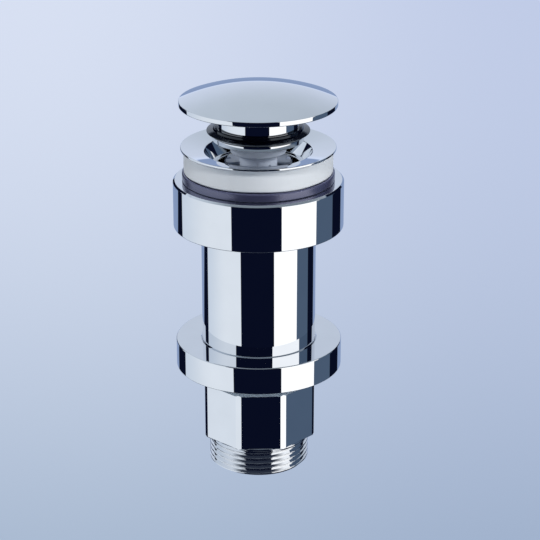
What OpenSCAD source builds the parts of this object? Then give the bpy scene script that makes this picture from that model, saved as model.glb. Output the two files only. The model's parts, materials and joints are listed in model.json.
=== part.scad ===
// Push-open basin waste with a chromed collar, sleeve and wrench tail.
// It stands on its own axis, with the origin where the basin's floor is gripped,
// between the flange gasket above and the collar gasket below.

/* [Cap and seal] */
// Diameter of the domed cap
cap_d = 64.4; // [60:0.2:68]
// Rise of the dome above its rim
cap_rise = 6.1; // [4:0.1:8]
// Height of the cap's straight rim
cap_rim = 2; // [1.4:0.1:3]
// Thickness of the cap's dome
cap_wall = 2.2; // [1.6:0.1:3]
// Thickness of the cap's rim wall
cap_rim_wall = 1.6; // [1.2:0.1:2.5]
// Height of the cap's rim above the flange when the plug is up
cap_lift = 17.2; // [16:0.1:20]
// Diameter of the neck under the cap
neck_d = 33.3; // [30:0.1:35]
// Length of the neck below the cap's rim
neck_drop = 8.6; // [7:0.1:9.8]
// Height of the rubber seal
seal_h = 3.65; // [3:0.05:4.2]
// Inset of the seal's foot from the edge of the plate below it
seal_inset = 0.2; // [0.1:0.05:1]
// Height of the lip's edge above the seal's foot
lip_rise = 1.55; // [1:0.05:2]
// Thickness of the lip's edge
lip_edge = 0.3; // [0.2:0.05:0.4]
// Width of the bead round the foot of the neck
bead_w = 1.7; // [1.2:0.05:2]
// Height of the bead above the root of the lip
bead_h = 1.2; // [0.8:0.05:1.4]
// Rounding of the bead
bead_round = 0.6; // [0.3:0.05:0.8]
// Gap between the bowl's ledge and the plate under the seal
retainer_gap = 0.4; // [0.3:0.05:1]
// Thickness of the plate under the seal
retainer_h = 2.05; // [1:0.05:2.4]
// Rounding of that plate's lower edge
retainer_round = 0.4; // [0.2:0.05:0.8]
// Diameter of the stud that joins cap and plunger
stud_d = 8; // [6:0.5:9]
// Travel of the plug from open to closed
plug_travel = 10; // [8:0.5:10.5]

/* [Plunger and latch] */
// Diameter of the plunger's head
head_d = 22.8; // [20:0.2:24]
// Height of the plunger's head
head_h = 5.6; // [4:0.1:6.5]
// Diameter of the plunger's barrel
barrel_d = 15.3; // [14.5:0.1:16]
// Length of the barrel below the latch ring
barrel_tail = 7.7; // [6:0.1:9]
// Depth of the cam track in the barrel
track_depth = 2.05; // [1.6:0.05:2.3]
// Turn of the latch ring over the plug's travel
latch_turn = 60; // [45:1:66]
// Diameter of the two latch pins
pin_d = 2; // [1.6:0.1:2.2]
// Height of the latch ring
latch_h = 4.4; // [3.6:0.1:6]
// Wall of the latch ring
latch_wall = 2.5; // [2:0.1:3]

/* [Cartridge] */
// Thickness of the cover over the latch ring
cover_h = 3; // [2.6:0.1:4]
// Length of the cover's skirt
cover_skirt = 6; // [4:0.1:7]
// Wall of the cartridge
cartridge_wall = 1.9; // [1.6:0.1:2.2]
// Thickness of the cartridge's floor
cartridge_floor = 6; // [5:0.1:8]
// Section of the wiper ring round the barrel
wiper_d = 1.4; // [1:0.1:1.6]
// Length of the return spring with the plug up
spring_len = 20; // [18:0.5:24]
// Wire of the return spring
spring_wire = 1.1; // [0.9:0.1:1.3]
// Coils of the return spring
spring_coils = 6.5; // [5:0.5:7]
// Thickness of the spring's seat
seat_h = 1.2; // [1:0.1:2]
// Height of the seat's nib inside the spring
seat_nib = 3; // [2:0.1:4]
// Diameter of the screw that holds the cartridge
screw_d = 5; // [4:0.5:6]

/* [Spider] */
// Height of the spider that carries the cartridge
spider_h = 5; // [4:0.1:7]
// Wall of the spider's ring
spider_wall = 1.8; // [1.5:0.1:2.2]
// Width of each spider arm
arm_w = 3; // [2:0.1:4]
// Number of spider arms
arm_count = 4; // [3:1:6]
// Thickness of the snap ring over the spider
snap_h = 1.1; // [0.9:0.1:1.4]

/* [Flange and shank] */
// Diameter of the flange
flange_d = 63.5; // [60:0.5:68]
// Thickness of the flange's edge
flange_edge = 0.85; // [0.6:0.05:1.4]
// Drop of the flange from its edge to its hole
flange_dish = 3.1; // [2:0.1:3.6]
// Bore of the shank around the cartridge
bore_d = 34; // [31:0.1:38]
// Wall of the shank around that bore
shank_wall = 2; // [1.8:0.05:3]
// Width of the ledge at the foot of the bowl
ledge_w = 2.1; // [1:0.05:3]
// Widening of the bowl from its ledge to the flange's hole
bowl_flare = 2.5; // [2:0.05:4]
// Wall of the flange and bowl
flange_wall = 2; // [1.6:0.1:2.2]
// Step from the shank down to the plain nose at its foot
nose_step = 1.55; // [1.2:0.05:2]
// Wall of the nose, and of the shank below the spider
nose_wall = 2.45; // [2:0.05:3]
// Length of the nose
nose_len = 9.5; // [8:0.5:10]

/* [Clamping stack] */
// Inset of the white flange gasket from the flange's edge
gasket_inset = 1.25; // [0.8:0.05:2]
// Height of the white flange gasket at its edge
flange_gasket_h = 9.65; // [9:0.05:11]
// Diameter of the dark collar gasket
collar_gasket_d = 62.4; // [58:0.2:66]
// Thickness of the dark collar gasket
collar_gasket_h = 3.5; // [2.5:0.1:4.5]
// Diameter of the collar
collar_d = 70; // [66:0.5:76]
// Height of the collar
collar_h = 19.6; // [18.4:0.1:24]
// Outer wall of the collar around its hollow
collar_wall = 4; // [2.5:0.1:5]
// Travel of the collar down the shank
collar_travel = 10; // [6:0.5:11]

/* [Sleeve and tail] */
// Wall of the spigot that centres the tail in the sleeve
spigot_wall = 2.13; // [1.6:0.01:3]
// Wall of the sleeve
tube_wall = 2.1; // [1.6:0.1:2.5]
// Length of the sleeve inside the collar
sleeve_lap = 4; // [2:0.5:5]
// Free height between the collar and the lower ring
mount_gap = 50.2; // [46:0.1:56]
// Diameter of the lower ring
ring_d = 69.2; // [64:0.1:74]
// Thickness of the lower ring
ring_h = 11.4; // [9:0.1:14]
// Chamfer at the mouth of the lower ring
ring_mouth = 0.6; // [0.3:0.1:1.5]
// Outer diameter of the slip washer
slip_d = 58; // [52:0.5:62]
// Thickness of the slip washer
slip_h = 1; // [0.8:0.1:1.5]
// Step from the sleeve's bore out to the flats of the tail's octagon
octagon_step = 1.45; // [1.2:0.05:2.5]
// Height of the tail's octagon
octagon_h = 25.8; // [24:0.1:30]
// Chamfer along the top of the octagon's flats
octagon_chamfer = 1.2; // [0.6:0.1:2]
// Flat on each corner of the octagon
corner_flat = 2.5; // [1:0.1:4]
// Height of the round shoulder above the octagon
shoulder_h = 4.3; // [2:0.1:5]
// Step from that shoulder out to the octagon's flats
shoulder_step = 1.3; // [1.2:0.05:1.6]
// Turn of the octagon from square to the front
octagon_turn = 2.4; // [0:0.1:45]
// Height of the tail's spigot
spigot_h = 8; // [5:0.5:10]
// Length of the outlet thread
outlet_len = 13.3; // [12:0.1:16]
// Outside diameter of the outlet thread
outlet_d = 41.91; // [41.5:0.01:42.3]
// Bore of the outlet
outlet_bore_d = 33; // [31:0.5:34]

/* [Clearances] */
// Radial clearance of parts that slide or turn on each other
run_gap = 0.07; // [0.03:0.01:0.1]
// Clearance of parts that pass without touching
free_gap = 0.35; // [0.25:0.05:0.45]
// Clearance of a part at the end of its travel
end_gap = 0.4; // [0.3:0.05:0.6]

/* [Hidden] */
$fn = 96;
edge = 0.5;
over = 1;

// Radii
cap_r = cap_d / 2;
neck_r = neck_d / 2;
stud_r = stud_d / 2;
barrel_r = barrel_d / 2;
pin_r = pin_d / 2;
bore_r = bore_d / 2;
shank_r = bore_r + shank_wall;
nose_r = shank_r - nose_step;
throat_r = nose_r - nose_wall;
ledge_r = bore_r + ledge_w;
hole_r = ledge_r + bowl_flare;
retainer_r = ledge_r - retainer_gap;
flange_r = flange_d / 2;
gasket_r = flange_r - gasket_inset;
collar_r = collar_d / 2;
tail_spigot_r = shank_r + run_gap + spigot_wall;
tube_in_r = tail_spigot_r + free_gap;
tube_r = tube_in_r + tube_wall;
ring_r = ring_d / 2;
octagon_flat_r = tube_in_r + octagon_step;
octagon_r = octagon_flat_r / cos(22.5);
corner_r = octagon_r - corner_flat / 2 * tan(22.5);
outlet_r = outlet_d / 2;

// Heights of the plug, from the flange's edge upwards
rim_z = flange_gasket_h + flange_edge;
cap_z0 = rim_z + cap_lift;
cap_z1 = cap_z0 + cap_rim;
apex_z = cap_z1 + cap_rise;
dome_r = (cap_r * cap_r + cap_rise * cap_rise) / (2 * cap_rise);
seal_z1 = cap_z0 - neck_drop;
seal_z0 = seal_z1 - seal_h;
retainer_z0 = seal_z0 - retainer_h;
head_z0 = retainer_z0 - head_h;

// Bowl of the flange: the closed seal stands just inside its wall
hole_z = rim_z - flange_dish;
ledge_z = retainer_z0 - plug_travel - end_gap;
lip_z = seal_z0 + lip_rise;
lip_r = bowl_r(lip_z - plug_travel) - free_gap;
shoulder_z = ledge_z - flange_wall - edge;

// Cartridge, from the closed plunger's head downwards
cover_z1 = head_z0 - plug_travel - end_gap;
cover_z0 = cover_z1 - cover_h;
chamber_z0 = cover_z0 - latch_h - end_gap;
pin_z = chamber_z0 + latch_h / 2;
latch_in_r = barrel_r + free_gap;
latch_out_r = latch_in_r + latch_wall;
chamber_r = latch_out_r + run_gap;
cup_r = chamber_r + cartridge_wall;
guide_r = barrel_r + run_gap;
sheath_r = guide_r + cartridge_wall + edge;
barrel_z0 = pin_z - barrel_tail;
seat_z1 = barrel_z0 - spring_len;
seat_z0 = seat_z1 - seat_h;
housing_z0 = seat_z0 - cartridge_floor;
spring_r = guide_r - free_gap - spring_wire / 2 - edge;
spigot_r = spring_r - spring_wire / 2 - free_gap;
screw_r = screw_d / 2;

// Spider on its step in the shank
spider_z0 = housing_z0 - spider_h;
spider_r = bore_r - run_gap;
washer_h = screw_d * 0.2;
head_screw_r = screw_d * 0.88;
head_screw_h = screw_d * 0.6;

// Cam track: pin path along the middle of the pin's engaged length
track_r = barrel_r - track_depth;
pin_tip_r = track_r + free_gap;
path_r = (pin_tip_r + barrel_r) / 2;
path_x = 2 * path_r * sin(latch_turn / 2);
path_slant = atan(path_x / plug_travel);
pin_sway = (barrel_r - pin_tip_r) / 2 * sin(latch_turn / 2);
slot_w = 2 * (pin_r + pin_sway + free_gap);
rest_angle = asin((pin_r + free_gap) / track_r);

// Clamping stack, from the clamp plane downwards
collar_z1 = -collar_gasket_h;
collar_z0 = collar_z1 - collar_h;
tube_z1 = collar_z0 + sleeve_lap;
web_z0 = tube_z1 + collar_travel + over;
skirt_r = tube_r + free_gap;
skirt_wall = 2.2;
ring_z1 = collar_z0 - mount_gap;
ring_z0 = ring_z1 - ring_h;
tail_z1 = ring_z0 - slip_h;
octagon_z1 = tail_z1 - shoulder_h;
octagon_z0 = octagon_z1 - octagon_h;
spigot_z1 = tail_z1 + spigot_h;
outlet_z0 = octagon_z0 - outlet_len;
relief_h = 1.2;
relief_depth = 1.5;
relief_r = outlet_r - relief_depth;
outlet_chamfer = 0.8;

// Foot of the shank, seated in the tail
nose_pocket_z0 = octagon_z0 + flange_wall;
nose_z0 = nose_pocket_z0 + end_gap;
nose_z1 = nose_z0 + nose_len;
nose_pocket_z1 = nose_z1 - end_gap;
oring_d = 1.3;
oring_z = nose_z0 + nose_len / 2;
oring_groove_r = nose_r - oring_d + run_gap;
oring_groove_h = oring_d + edge;

// Radius of the bowl's wall at a height
function bowl_r(z) = ledge_r + (hole_r - ledge_r) * (z - ledge_z) / (hole_z - ledge_z);

// Points along an arc about a centre
function arc(cx, cz, r, a0, a1, n = 8) =
    [for (i = [0:n]) [cx + r * cos(a0 + (a1 - a0) * i / n), cz + r * sin(a0 + (a1 - a0) * i / n)]];

// Underside of the flange, shared with the gasket that fills it
function underside() = [
    [gasket_r, flange_gasket_h],
    [hole_r + flange_wall, hole_z - flange_wall * 0.6],
    [ledge_r + flange_wall, shoulder_z + edge],
    [ledge_r + flange_wall, shoulder_z]
];

module turned(points) {
    rotate_extrude() polygon(points);
}

module disc(r, z0, z1) {
    translate([0, 0, z0]) cylinder(r = r, h = z1 - z0);
}

module ring(r_out, r_in, z0, z1) {
    difference() {
        disc(r_out, z0, z1);
        disc(r_in, z0 - over, z1 + over);
    }
}

// Flat ring with its four edges broken by c
module eased_ring(r_out, r_in, z0, z1, c) {
    turned([[r_in + c, z0], [r_out - c, z0], [r_out, z0 + c], [r_out, z1 - c],
        [r_out - c, z1], [r_in + c, z1], [r_in, z1 - c], [r_in, z0 + c]]);
}

module o_ring(r_mid, z, d) {
    rotate_extrude() translate([r_mid, z]) circle(d = d);
}

// Ball whose top makes the cap's dome
module dome_ball(r) {
    translate([0, 0, apex_z - dome_r]) sphere(r = r);
}

// Domed cap, hollow below, with the neck that presses on the seal
module plug_cap() {
    color("gainsboro")
    difference() {
        intersection() {
            union() {
                disc(cap_r, cap_z0, apex_z);
                disc(neck_r, seal_z1, apex_z);
            }
            dome_ball(dome_r);
        }
        difference() {
            intersection() {
                disc(cap_r - cap_rim_wall, cap_z0 - over, apex_z);
                dome_ball(dome_r - cap_wall);
            }
            disc(neck_r, seal_z1 - over, apex_z);
        }
        disc(stud_r, seal_z1 - over, cap_z0);
    }
}

// Rubber seal, with a bead around the foot of the neck and a thin lip that flares out
module plug_seal() {
    bead_r = neck_r + bead_w;
    color([0.06, 0.06, 0.07])
    turned(concat(
        [[stud_r + run_gap, seal_z0], [retainer_r - seal_inset, seal_z0], [lip_r, lip_z]],
        [[lip_r, lip_z + lip_edge], [bead_r, seal_z1 - bead_h]],
        arc(bead_r - bead_round, seal_z1 - bead_round, bead_round, 0, 90, 5),
        [[stud_r + run_gap, seal_z1]]));
}

// Chromed plate that holds the seal against the neck
module seal_retainer() {
    color("silver")
    turned(concat(
        [[stud_r + run_gap, retainer_z0]],
        arc(retainer_r - retainer_round, retainer_z0 + retainer_round, retainer_round, -90, 0, 5),
        [[retainer_r, seal_z0], [stud_r + run_gap, seal_z0]]));
}

// Threaded stud between cap and plunger
module plug_stud() {
    color("darkgoldenrod")
    turned([[0, pin_z + plug_travel], [stud_r - edge, pin_z + plug_travel],
        [stud_r, pin_z + plug_travel + edge], [stud_r, cap_z0 - edge - over],
        [stud_r - edge, cap_z0 - over], [0, cap_z0 - over]]);
}

// One closed cam track: a slanted leg, an upright return leg and the groove that joins them
module cam_track() {
    leg_len = sqrt(path_x * path_x + plug_travel * plug_travel) + slot_w;
    rotate([0, 0, -latch_turn / 2])
        translate([track_r * cos(latch_turn / 2), 0, pin_z + plug_travel / 2])
        rotate([path_slant, 0, 0])
        translate([0, -slot_w / 2, -leg_len / 2]) cube([barrel_r, slot_w, leg_len]);
    rotate([0, 0, -latch_turn])
        translate([track_r, -slot_w / 2, pin_z - slot_w / 2])
        cube([barrel_r, slot_w, plug_travel + slot_w]);
    rotate([0, 0, -latch_turn])
        rotate_extrude(angle = latch_turn + rest_angle)
        translate([track_r, pin_z - slot_w / 2]) square([barrel_r, slot_w]);
}

// Plunger: head under the retainer, and a barrel with two cam tracks
module plunger() {
    color([0.55, 0.57, 0.6])
    difference() {
        union() {
            turned(concat(
                [[0, head_z0], [barrel_r + edge, head_z0]],
                arc(head_d / 2 - 2 * edge, head_z0 + 2 * edge, 2 * edge, -90, 0, 5),
                [[head_d / 2, retainer_z0], [0, retainer_z0]]));
            disc(barrel_r, barrel_z0, head_z0 + over);
            disc(spigot_r, barrel_z0 - 2 * over, barrel_z0 + over);
        }
        disc(stud_r, pin_z + plug_travel - edge, retainer_z0 + over);
        for (side = [0, 180]) rotate([0, 0, side]) cam_track();
    }
}

// Ring that the plunger turns as it passes
module latch_ring() {
    color("ivory")
    difference() {
        eased_ring(latch_out_r, latch_in_r, chamber_z0, chamber_z0 + latch_h, edge / 2);
        rotate([0, 90, 0]) translate([-pin_z, 0, -latch_out_r - over])
            cylinder(r = pin_r, h = 2 * (latch_out_r + over));
    }
}

// Two pins that stand inwards from the latch ring into the tracks
module latch_pins() {
    color("lightsteelblue")
    for (side = [0, 180]) rotate([0, 0, side])
        translate([pin_tip_r, 0, pin_z]) rotate([0, 90, 0])
        cylinder(r = pin_r, h = latch_out_r - edge - pin_tip_r);
}

// Screwed cover of the cartridge, with spanner notches and a groove for the wiper
module cartridge_cover() {
    skirt_in = cup_r + run_gap;
    skirt_out = skirt_in + 1.2;
    wiper_groove_r = guide_r + wiper_d;
    wiper_z = (cover_z0 + cover_z1) / 2;
    notch = 2.4;
    color("dimgray")
    difference() {
        turned([[guide_r, cover_z0], [skirt_in, cover_z0], [skirt_in, cover_z0 - cover_skirt],
            [skirt_out, cover_z0 - cover_skirt], [skirt_out, cover_z1 - edge],
            [skirt_out - edge, cover_z1], [guide_r + edge, cover_z1], [guide_r, cover_z1 - edge]]);
        ring(wiper_groove_r, guide_r - edge, wiper_z - wiper_d / 2 - run_gap,
            wiper_z + wiper_d / 2 + run_gap);
        for (a = [0:90:270]) rotate([0, 0, a])
            translate([skirt_out - notch, -notch / 2, cover_z1 - over])
            cube([2 * notch, notch, 2 * over]);
    }
}

// Wiper ring that rides on the barrel
module plunger_wiper() {
    color([0.1, 0.1, 0.1])
    o_ring(barrel_r + run_gap / 2 + wiper_d / 2, (cover_z0 + cover_z1) / 2, wiper_d);
}

// Cartridge: latch chamber above, spring sheath with windows below, screwed floor
module cartridge_housing() {
    cup_z0 = chamber_z0 - cartridge_wall;
    window_w = 5;
    window_z0 = seat_z1 + 2 * over;
    window_h = spring_len * 0.7;
    color("slategray")
    difference() {
        turned([[0, housing_z0], [sheath_r - edge, housing_z0], [sheath_r, housing_z0 + edge],
            [sheath_r, cup_z0 - (cup_r - sheath_r)], [cup_r, cup_z0], [cup_r, cover_z0],
            [chamber_r, cover_z0], [chamber_r, chamber_z0], [guide_r, chamber_z0],
            [guide_r, seat_z0], [0, seat_z0]]);
        disc(screw_r, housing_z0 - over, seat_z0 - over);
        for (a = [30:120:270]) rotate([0, 0, a])
            translate([0, -window_w / 2, window_z0]) cube([2 * cup_r, window_w, window_h]);
    }
}

// Compression spring swept along a helix with closed ends
function coil_rise(t) =
    let (flat = 0.75 / spring_coils, wire_rise = spring_wire * 0.75)
    t < flat ? wire_rise * t / flat :
    t > 1 - flat ? spring_len - spring_wire - wire_rise * (1 - t) / flat :
    wire_rise + (spring_len - spring_wire - 2 * wire_rise) * (t - flat) / (1 - 2 * flat);

module return_spring() {
    steps = round(spring_coils * 22);
    sides = 8;
    wire_r = spring_wire / 2 - run_gap / 2;
    points = [for (i = [0:steps], k = [0:sides - 1])
        let (t = i / steps, a = 360 * spring_coils * t, b = 360 * k / sides,
            r = spring_r + wire_r * cos(b))
        [r * cos(a), r * sin(a), seat_z1 + spring_wire / 2 + coil_rise(t) + wire_r * sin(b)]];
    walls = [for (i = [0:steps - 1], k = [0:sides - 1])
        let (n = (k + 1) % sides)
        [i * sides + k, (i + 1) * sides + k, (i + 1) * sides + n, i * sides + n]];
    ends = [[for (k = [0:sides - 1]) k], [for (k = [0:sides - 1]) steps * sides + sides - 1 - k]];
    color("silver") polyhedron(points, concat(walls, ends));
}

// Cup washer under the spring
module spring_seat() {
    color("tan")
    turned([[0, seat_z0], [guide_r - run_gap, seat_z0], [guide_r - run_gap, seat_z1],
        [spigot_r, seat_z1], [spigot_r, seat_z1 + seat_nib * 2 / 3],
        [spigot_r - seat_nib / 3, seat_z1 + seat_nib], [0, seat_z1 + seat_nib]]);
}

// Socket-head screw that draws the cartridge onto the spider
module cartridge_screw() {
    head_z1 = spider_z0 - washer_h;
    head_bottom_z = head_z1 - head_screw_h;
    color("silver")
    difference() {
        union() {
            turned([[0, head_bottom_z], [head_screw_r - edge, head_bottom_z],
                [head_screw_r, head_bottom_z + edge], [head_screw_r, head_z1], [0, head_z1]]);
            disc(screw_r, head_z1 - edge, seat_z0 - over - edge);
        }
        translate([0, 0, head_bottom_z - over])
            cylinder(d = screw_d * 0.9, h = head_screw_h * 0.6 + over, $fn = 6);
    }
}

module screw_washer() {
    color("silver")
    eased_ring(head_screw_r + over, screw_r + free_gap, spider_z0 - washer_h, spider_z0, edge / 4);
}

// Cross-armed carrier that stands on the step in the shank
module spider() {
    hub_r = head_screw_r + 2 * over;
    color("darkkhaki")
    difference() {
        union() {
            ring(spider_r, spider_r - spider_wall, spider_z0, housing_z0);
            disc(hub_r, spider_z0, housing_z0);
            for (i = [0:arm_count - 1]) rotate([0, 0, 45 + 360 * i / arm_count])
                translate([0, -arm_w / 2, spider_z0])
                cube([spider_r - spider_wall / 2, arm_w, spider_h]);
        }
        disc(screw_r + free_gap, spider_z0 - over, housing_z0 + over);
    }
}

// Split ring that keeps the spider on its step
module snap_ring() {
    snap_r = bore_r + edge;
    gap_w = 8;
    color("lightgray")
    difference() {
        ring(snap_r, bore_r - spider_wall + edge, housing_z0, housing_z0 + snap_h);
        translate([0, -gap_w / 2, housing_z0 - over]) cube([2 * bore_r, gap_w, snap_h + 2 * over]);
    }
}

// Flange, bowl and shank in one turned piece
module waste_flange() {
    lip = 0.9;
    dish_tilt = atan((flange_dish - lip) / (flange_r - hole_r - lip));
    groove_r = bore_r + edge + run_gap;
    color("gainsboro")
    turned(concat(
        [[flange_r - edge / 2, rim_z]],
        arc(hole_r + lip, hole_z, lip, 90 + dish_tilt, 180, 6),
        [[ledge_r, ledge_z], [bore_r + edge, ledge_z], [bore_r, ledge_z - edge]],
        [[bore_r, housing_z0 + snap_h + run_gap], [groove_r, housing_z0 + snap_h + run_gap]],
        [[groove_r, housing_z0], [bore_r, housing_z0]],
        [[bore_r, spider_z0], [throat_r, spider_z0], [throat_r, nose_z0]],
        [[nose_r - edge, nose_z0], [nose_r, nose_z0 + edge]],
        [[nose_r, oring_z - oring_groove_h / 2], [oring_groove_r, oring_z - oring_groove_h / 2]],
        [[oring_groove_r, oring_z + oring_groove_h / 2], [nose_r, oring_z + oring_groove_h / 2]],
        [[nose_r, nose_z1], [shank_r - over, nose_z1], [shank_r, nose_z1 + over]],
        [[shank_r, shoulder_z]],
        [for (i = [3:-1:0]) underside()[i]],
        [[flange_r, flange_gasket_h], [flange_r, rim_z - edge / 2]]));
}

// White gasket that fills the underside of the flange
module flange_gasket() {
    in_r = ledge_r + flange_wall;
    color([0.9, 0.92, 0.92])
    turned(concat(
        [[in_r, 0], [gasket_r - edge, 0], [gasket_r, edge]],
        [for (i = [0:3]) underside()[i]]));
}

// Dark gasket under the basin
module collar_gasket() {
    color([0.25, 0.24, 0.32])
    eased_ring(collar_gasket_d / 2, shank_r + free_gap, -collar_gasket_h, 0, edge);
}

// Collar: threaded web on top, guide sleeve and outer wall below
module clamp_collar() {
    top_chamfer = 0.75;
    hollow_r = collar_r - collar_wall;
    guide_out_r = skirt_r + skirt_wall;
    color("gainsboro")
    difference() {
        turned([[shank_r + run_gap, web_z0], [skirt_r, web_z0], [skirt_r, collar_z0 + edge],
            [skirt_r + edge, collar_z0], [collar_r - edge, collar_z0], [collar_r, collar_z0 + edge],
            [collar_r, collar_z1 - top_chamfer], [collar_r - top_chamfer, collar_z1],
            [shank_r + run_gap, collar_z1]]);
        ring(hollow_r, guide_out_r, collar_z0 - over, web_z0);
    }
}

// Smooth sleeve between collar and lower ring
module sleeve_tube() {
    color("gainsboro")
    turned([[tube_in_r, ring_z0], [tube_r, ring_z0], [tube_r, tube_z1 - edge],
        [tube_r - edge, tube_z1], [tube_in_r, tube_z1]]);
}

// Lower clamping ring around the foot of the sleeve
module lower_ring() {
    ring_bore_r = tube_r + run_gap;
    color("gainsboro")
    turned([[ring_bore_r, ring_z0], [ring_r - edge, ring_z0], [ring_r, ring_z0 + edge],
        [ring_r, ring_z1 - edge], [ring_r - edge, ring_z1],
        [ring_bore_r + ring_mouth, ring_z1], [ring_bore_r, ring_z1 - ring_mouth]]);
}

// Nylon washer that lets the tail turn under the ring
module slip_washer() {
    color("whitesmoke")
    eased_ring(slip_d / 2, tail_spigot_r + free_gap, ring_z0 - slip_h, ring_z0, edge / 4);
}

// Octagon with its corners cut flat and its flats chamfered at the top
module octagon_block() {
    cut = 4 * octagon_chamfer;
    translate([0, 0, octagon_z0])
    rotate([0, 0, octagon_turn])
    difference() {
        intersection() {
            rotate([0, 0, 22.5]) cylinder(r = octagon_r, h = octagon_h, $fn = 8);
            cylinder(r = corner_r / cos(22.5), h = octagon_h, $fn = 8);
        }
        for (a = [0:45:315]) rotate([0, 0, a])
            translate([octagon_flat_r - octagon_chamfer, 0, octagon_h])
            rotate([0, 45, 0])
            translate([-cut / 2, -octagon_r, 0]) cube([cut, 2 * octagon_r, cut]);
    }
}

// Tail: spigot, shoulder, octagon for the wrench, and the outlet thread
module tail_piece() {
    shoulder_r = octagon_flat_r - shoulder_step;
    color("gainsboro")
    difference() {
        union() {
            octagon_block();
            disc(shoulder_r, octagon_z1 - over, tail_z1);
            turned([[0, outlet_z0], [outlet_r - outlet_chamfer, outlet_z0],
                [outlet_r, outlet_z0 + outlet_chamfer], [outlet_r, octagon_z0 - relief_h],
                [relief_r, octagon_z0 - relief_h], [relief_r, octagon_z0 + over], [0, octagon_z0 + over]]);
            disc(tail_spigot_r, tail_z1 - over, spigot_z1);
        }
        turned([[0, outlet_z0 - over], [outlet_bore_d / 2, outlet_z0 - over],
            [outlet_bore_d / 2, nose_pocket_z0], [nose_r + run_gap, nose_pocket_z0],
            [nose_r + run_gap, nose_pocket_z1], [shank_r + run_gap, nose_pocket_z1],
            [shank_r + run_gap, spigot_z1 + over], [0, spigot_z1 + over]]);
    }
}

// O-ring on the nose of the shank
module shank_oring() {
    color([0.1, 0.1, 0.1])
    o_ring(nose_r - oring_d / 2 + run_gap / 2 + run_gap / 4, oring_z, oring_d - run_gap / 2);
}

plug_cap();
plug_seal();
seal_retainer();
plug_stud();
plunger();
latch_ring();
latch_pins();
cartridge_cover();
plunger_wiper();
cartridge_housing();
return_spring();
spring_seat();
cartridge_screw();
screw_washer();
spider();
snap_ring();
waste_flange();
flange_gasket();
collar_gasket();
clamp_collar();
sleeve_tube();
lower_ring();
slip_washer();
tail_piece();
shank_oring();
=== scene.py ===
import json
import math

import bpy
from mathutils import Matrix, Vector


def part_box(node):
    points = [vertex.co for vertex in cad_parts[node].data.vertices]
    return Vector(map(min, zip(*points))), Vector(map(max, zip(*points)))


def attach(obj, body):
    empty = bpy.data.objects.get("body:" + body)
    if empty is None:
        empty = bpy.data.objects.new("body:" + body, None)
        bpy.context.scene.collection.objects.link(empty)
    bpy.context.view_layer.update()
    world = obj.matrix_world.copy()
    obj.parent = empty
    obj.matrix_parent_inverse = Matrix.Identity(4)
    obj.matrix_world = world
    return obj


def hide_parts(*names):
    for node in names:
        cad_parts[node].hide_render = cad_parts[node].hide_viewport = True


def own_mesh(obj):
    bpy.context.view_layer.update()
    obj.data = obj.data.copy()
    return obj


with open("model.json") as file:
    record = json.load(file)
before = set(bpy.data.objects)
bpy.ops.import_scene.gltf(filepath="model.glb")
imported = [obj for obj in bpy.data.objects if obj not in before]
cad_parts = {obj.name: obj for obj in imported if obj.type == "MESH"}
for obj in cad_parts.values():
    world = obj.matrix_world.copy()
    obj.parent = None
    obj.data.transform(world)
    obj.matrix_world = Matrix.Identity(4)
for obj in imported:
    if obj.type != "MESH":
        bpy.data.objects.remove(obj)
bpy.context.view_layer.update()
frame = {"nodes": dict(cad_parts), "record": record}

bl_info = {
    "name": "Push-open basin waste",
    "version": (1, 0, 0),
    "blender": (4, 5, 0),
    "location": "View3D > Sidebar > Basin waste",
    "description": "Models a chromed push-open basin waste and the studio it stands in",
    "category": "Mesh",
}

MM = 0.001
FULL_TURN = 2 * math.pi
FINISH = "_finish"

# Half the angle between two neighbouring flats of the octagon
HALF_FLAT_ANGLE = math.pi / 8

# Room round a piece that seats in another, and round one that slides
SEAT_GAP = 0.07 * MM
SLIDE_GAP = 0.35 * MM

# Roundings of edges that have no size of their own
FINE_EDGE = 0.1 * MM
SMALL_EDGE = 0.2 * MM
EDGE = 0.3 * MM
BROAD_EDGE = 0.4 * MM

# How finely meshes are merged, smoothed and divided
MERGE_DISTANCE = 0.002 * MM
SMOOTH_ANGLE = math.radians(32)
BEVEL_ANGLE = math.radians(15)
BRIGHT_SEGMENTS = 256
SHANK_ROWS = 8
OUTLET_ROWS = 24

# Shader values that stay the same all over a finish
METAL = {"Metallic": 1.0}
COOL = {"Specular Tint": (0.8, 0.9, 1.0, 1.0)}
VIOLET = {"IOR": 2.25, "Specular Tint": (0.74, 0.76, 1.0, 1.0)}

# Roughness, its spread, grains per metre, height of the grain and fixed values of each finish
SURFACES = {
    "chrome_plate": (0.012, 0.008, 30.0, 0.008 * MM, METAL),
    "bare_brass": (0.3, 0.1, 400.0, 0.01 * MM, METAL),
    "spring_steel": (0.25, 0.1, 400.0, 0.01 * MM, METAL),
    "black_rubber": (0.1, 0.04, 1500.0, 0.003 * MM, COOL),
    "dark_gasket": (0.27, 0.08, 300.0, 0.02 * MM, VIOLET),
    "grey_plastic": (0.4, 0.1, 900.0, 0.01 * MM, {}),
    "nylon": (0.45, 0.1, 900.0, 0.01 * MM, {}),
    "white_gasket": (0.5, 0.1, 250.0, 0.04 * MM, {}),
}
MOTTLE_GRAIN = 90.0
TINT_SPREAD = 0.04

# Place, width in metres and power in watts of each lamp
LAMPS = {
    "top": ((0.0, -0.6, 1.16), 0.2, 8.6),
    "right": ((1.06, -0.38, 0.65), 0.4, 8.8),
    "left": ((-1.2, 0.05, 0.55), 0.4, 6.5),
    "front": ((0.4, -1.2, 0.28), 0.5, 2.2),
}

# Left and right edge of each studio panel, as its bearing in degrees from the camera's side,
# positive to the right, and its lean per degree of height
SOFTBOX_EDGES = (-124.5, 0), (-41.2, -0.25)
PANEL_EDGES = (29.97, -0.073), (87.45, 0.155)
SLATE_EDGES = (87.45, 0.155), (118.5, 0)
WALL_LEFT = -151
WALL_RIGHT = 146
PANEL_BLUR = 0.4


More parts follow.
